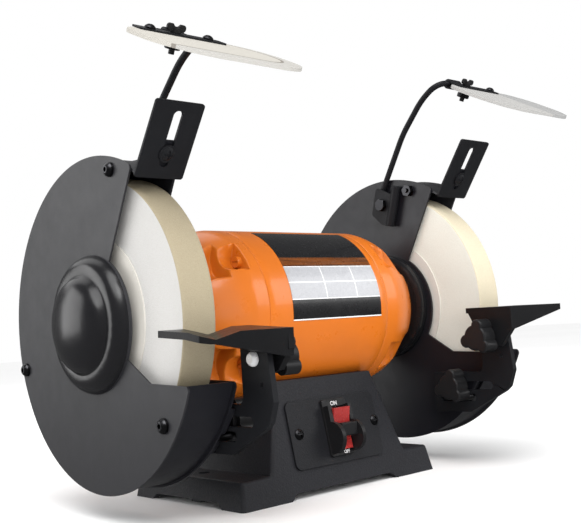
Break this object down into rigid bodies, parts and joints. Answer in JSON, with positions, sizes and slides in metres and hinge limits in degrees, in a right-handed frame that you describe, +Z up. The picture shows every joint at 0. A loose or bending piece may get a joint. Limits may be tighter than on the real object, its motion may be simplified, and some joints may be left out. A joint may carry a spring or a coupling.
{
  "type": "bench grinder",
  "caption": "Bench grinder: central motor on a pedestal drives a grinding wheel at each end, with guards, spark deflectors, adjustable tool rests, eye shields on rods and a front rocker switch.",
  "frame": {"origin": "on the bench plane under the middle of the base, midway between the two bench bolts", "axes": "+X along the spindle to the operator's right, +Y away from the operator, +Z up"},
  "size_m": [0.4397, 0.2684, 0.3284],
  "materials": {
    "arbor_nuts": "ground steel",
    "arbor_shaft": "ground steel",
    "base_pedestal": "dark grey textured paint",
    "bearing_ball_cages": "ground bearing steel",
    "bearing_inner_races": "ground bearing steel",
    "bearing_outer_races": "ground bearing steel",
    "bottom_cover": "black paint",
    "cord_gland": "black plastic",
    "guard_cover_bolts": "zinc plated",
    "guard_mount_screws": "zinc plated",
    "housing_through_bolts": "zinc plated",
    "left_end_bell": "gloss orange paint on casting",
    "left_eye_shield": "clear sheet with off-white film",
    "left_grinding_wheel": "white bonded abrasive",
    "left_guard_cover": "satin grey paint",
    "left_inner_guard": "black paint",
    "left_rest_bracket": "black paint",
    "left_rest_pivot_bolt": "zinc plated",
    "left_rest_slide_knob": "black plastic",
    "left_rest_tilt_knob": "black plastic",
    "left_rod_clamp": "black paint",
    "left_shield_arm": "black paint",
    "left_shield_bracket": "black paint",
    "left_shield_screws": "zinc plated",
    "left_shield_thumbscrew": "black plastic",
    "left_spark_deflector": "black paint",
    "left_tool_rest": "grey paint on casting",
    "motor_base_bolts": "zinc plated",
    "motor_shell": "gloss orange paint",
    "panel_screws": "zinc plated",
    "rating_plate": "printed film, no wording",
    "rest_guide_pins": "zinc plated",
    "right_end_bell": "gloss orange paint on casting",
    "right_eye_shield": "clear sheet with off-white film",
    "right_grinding_wheel": "white bonded abrasive",
    "right_guard_cover": "satin grey paint",
    "right_inner_guard": "black paint",
    "right_rest_bracket": "black paint",
    "right_rest_pivot_bolt": "zinc plated",
    "right_rest_slide_knob": "black plastic",
    "right_rest_tilt_knob": "black plastic",
    "right_rod_clamp": "black paint",
    "right_shield_arm": "black paint",
    "right_shield_bracket": "black paint",
    "right_shield_screws": "zinc plated",
    "right_shield_thumbscrew": "black plastic",
    "right_spark_deflector": "black paint",
    "right_tool_rest": "grey paint on casting",
    "rotor_core": "stacked laminations",
    "shield_clamp_bolts": "zinc plated",
    "spark_deflector_screws": "zinc plated",
    "start_capacitor": "plain can",
    "stator_core": "stacked laminations",
    "stator_windings": "lacquered copper turns",
    "switch_body": "black plastic",
    "switch_key": "black plastic",
    "switch_plate": "black paint",
    "switch_rocker": "red gloss",
    "wheel_blotters": "pressed paper",
    "wheel_flanges": "ground steel"
  },
  "bodies": {
    "frame": {"base_pedestal": "base_pedestal", "bearing_ball_cages": "bearing_ball_cages", "bearing_outer_races": "bearing_outer_races", "bottom_cover": "bottom_cover", "cord_gland": "cord_gland", "guard_cover_bolts": "guard_cover_bolts", "guard_mount_screws": "guard_mount_screws", "housing_through_bolts": "housing_through_bolts", "left_end_bell": "left_end_bell", "left_guard_cover": "left_guard_cover", "left_inner_guard": "left_inner_guard", "motor_base_bolts": "motor_base_bolts", "motor_shell": "motor_shell", "panel_screws": "panel_screws", "rating_plate": "rating_plate", "rest_guide_pins": "rest_guide_pins", "right_end_bell": "right_end_bell", "right_guard_cover": "right_guard_cover", "right_inner_guard": "right_inner_guard", "shield_clamp_bolts": "shield_clamp_bolts", "spark_deflector_screws": "spark_deflector_screws", "start_capacitor": "start_capacitor", "stator_core": "stator_core", "stator_windings": "stator_windings", "switch_body": "switch_body", "switch_plate": "switch_plate"},
    "spindle": {"arbor_shaft": "arbor_shaft", "rotor_core": "rotor_core", "bearing_inner_races": "bearing_inner_races", "wheel_flanges": "wheel_flanges", "left_grinding_wheel": "left_grinding_wheel", "right_grinding_wheel": "right_grinding_wheel", "wheel_blotters": "wheel_blotters", "arbor_nuts": "arbor_nuts"},
    "rocker": {"switch_rocker": "switch_rocker"},
    "key": {"switch_key": "switch_key"},
    "left_deflector": {"left_spark_deflector": "left_spark_deflector"},
    "left_bracket": {"left_rest_bracket": "left_rest_bracket"},
    "left_rest": {"left_tool_rest": "left_tool_rest", "left_rest_pivot_bolt": "left_rest_pivot_bolt"},
    "left_tilt_knob": {"left_rest_tilt_knob": "left_rest_tilt_knob"},
    "left_slide_knob": {"left_rest_slide_knob": "left_rest_slide_knob"},
    "left_arm": {"left_shield_arm": "left_shield_arm", "left_rod_clamp": "left_rod_clamp"},
    "left_shield": {"left_shield_bracket": "left_shield_bracket", "left_eye_shield": "left_eye_shield", "left_shield_screws": "left_shield_screws"},
    "left_thumbscrew": {"left_shield_thumbscrew": "left_shield_thumbscrew"},
    "right_deflector": {"right_spark_deflector": "right_spark_deflector"},
    "right_bracket": {"right_rest_bracket": "right_rest_bracket"},
    "right_rest": {"right_tool_rest": "right_tool_rest", "right_rest_pivot_bolt": "right_rest_pivot_bolt"},
    "right_tilt_knob": {"right_rest_tilt_knob": "right_rest_tilt_knob"},
    "right_slide_knob": {"right_rest_slide_knob": "right_rest_slide_knob"},
    "right_arm": {"right_shield_arm": "right_shield_arm", "right_rod_clamp": "right_rod_clamp"},
    "right_shield": {"right_shield_bracket": "right_shield_bracket", "right_eye_shield": "right_eye_shield", "right_shield_screws": "right_shield_screws"},
    "right_thumbscrew": {"right_shield_thumbscrew": "right_shield_thumbscrew"}
  },
  "joints": [
    {"name": "spindle_spin", "type": "hinge", "parent": "frame", "child": "spindle", "pos_m": [0, 0, 0.1365], "axis": [1, 0, 0], "continuous": true},
    {"name": "rocker_tip", "type": "hinge", "parent": "frame", "child": "rocker", "pos_m": [0, -0.06333, 0.04548], "axis": [1, 0, 0], "range_deg": [-20, 0]},
    {"name": "key_pull", "type": "slide", "parent": "rocker", "child": "key", "axis": [0, -0.9997, 0.0263], "range_m": [0, 0.015]},
    {"name": "left_deflector_slide", "type": "slide", "parent": "frame", "child": "left_deflector", "axis": [0, -0.5807, 0.8141], "range_m": [-0.0025, 0.007]},
    {"name": "left_bracket_slide", "type": "slide", "parent": "frame", "child": "left_bracket", "axis": [0, -1, 0], "range_m": [-0.0015, 0.01]},
    {"name": "left_rest_tilt", "type": "hinge", "parent": "left_bracket", "child": "left_rest", "pos_m": [-0.12, -0.1217, 0.1055], "axis": [1, 0, 0], "range_deg": [-3, 30]},
    {"name": "left_tilt_knob_turn", "type": "hinge", "parent": "left_rest", "child": "left_tilt_knob", "pos_m": [-0.105, -0.1217, 0.1055], "axis": [-1, 0, 0], "range_deg": [0, 360]},
    {"name": "left_slide_knob_turn", "type": "hinge", "parent": "frame", "child": "left_slide_knob", "pos_m": [-0.114, -0.084, 0.066], "axis": [-1, 0, 0], "range_deg": [0, 360]},
    {"name": "left_arm_swing", "type": "hinge", "parent": "frame", "child": "left_arm", "pos_m": [-0.1266, -0.0092, 0.2275], "axis": [1, 0, 0], "range_deg": [-29, 3]},
    {"name": "left_shield_tilt", "type": "hinge", "parent": "left_arm", "child": "left_shield", "pos_m": [-0.15, -0.08816, 0.31766], "axis": [1, 0, 0], "range_deg": [-35, 25]},
    {"name": "left_thumbscrew_turn", "type": "hinge", "parent": "left_shield", "child": "left_thumbscrew", "pos_m": [-0.1545, -0.09706, 0.31311], "axis": [0, -0.4555, 0.8902], "range_deg": [0, 360]},
    {"name": "right_deflector_slide", "type": "slide", "parent": "frame", "child": "right_deflector", "axis": [0, -0.5807, 0.8141], "range_m": [-0.0025, 0.007]},
    {"name": "right_bracket_slide", "type": "slide", "parent": "frame", "child": "right_bracket", "axis": [0, -1, 0], "range_m": [-0.0015, 0.01]},
    {"name": "right_rest_tilt", "type": "hinge", "parent": "right_bracket", "child": "right_rest", "pos_m": [0.12, -0.1217, 0.1055], "axis": [1, 0, 0], "range_deg": [-3, 30]},
    {"name": "right_tilt_knob_turn", "type": "hinge", "parent": "right_rest", "child": "right_tilt_knob", "pos_m": [0.105, -0.1217, 0.1055], "axis": [1, 0, 0], "range_deg": [0, 360]},
    {"name": "right_slide_knob_turn", "type": "hinge", "parent": "frame", "child": "right_slide_knob", "pos_m": [0.114, -0.084, 0.066], "axis": [1, 0, 0], "range_deg": [0, 360]},
    {"name": "right_arm_swing", "type": "hinge", "parent": "frame", "child": "right_arm", "pos_m": [0.1266, -0.0092, 0.2275], "axis": [1, 0, 0], "range_deg": [-25, 5]},
    {"name": "right_shield_tilt", "type": "hinge", "parent": "right_arm", "child": "right_shield", "pos_m": [0.15, -0.08, 0.3242], "axis": [1, 0, 0], "range_deg": [-35, 25]},
    {"name": "right_thumbscrew_turn", "type": "hinge", "parent": "right_shield", "child": "right_thumbscrew", "pos_m": [0.156, -0.08874, 0.31934], "axis": [0, -0.4863, 0.8738], "range_deg": [0, 360]}
  ]
}
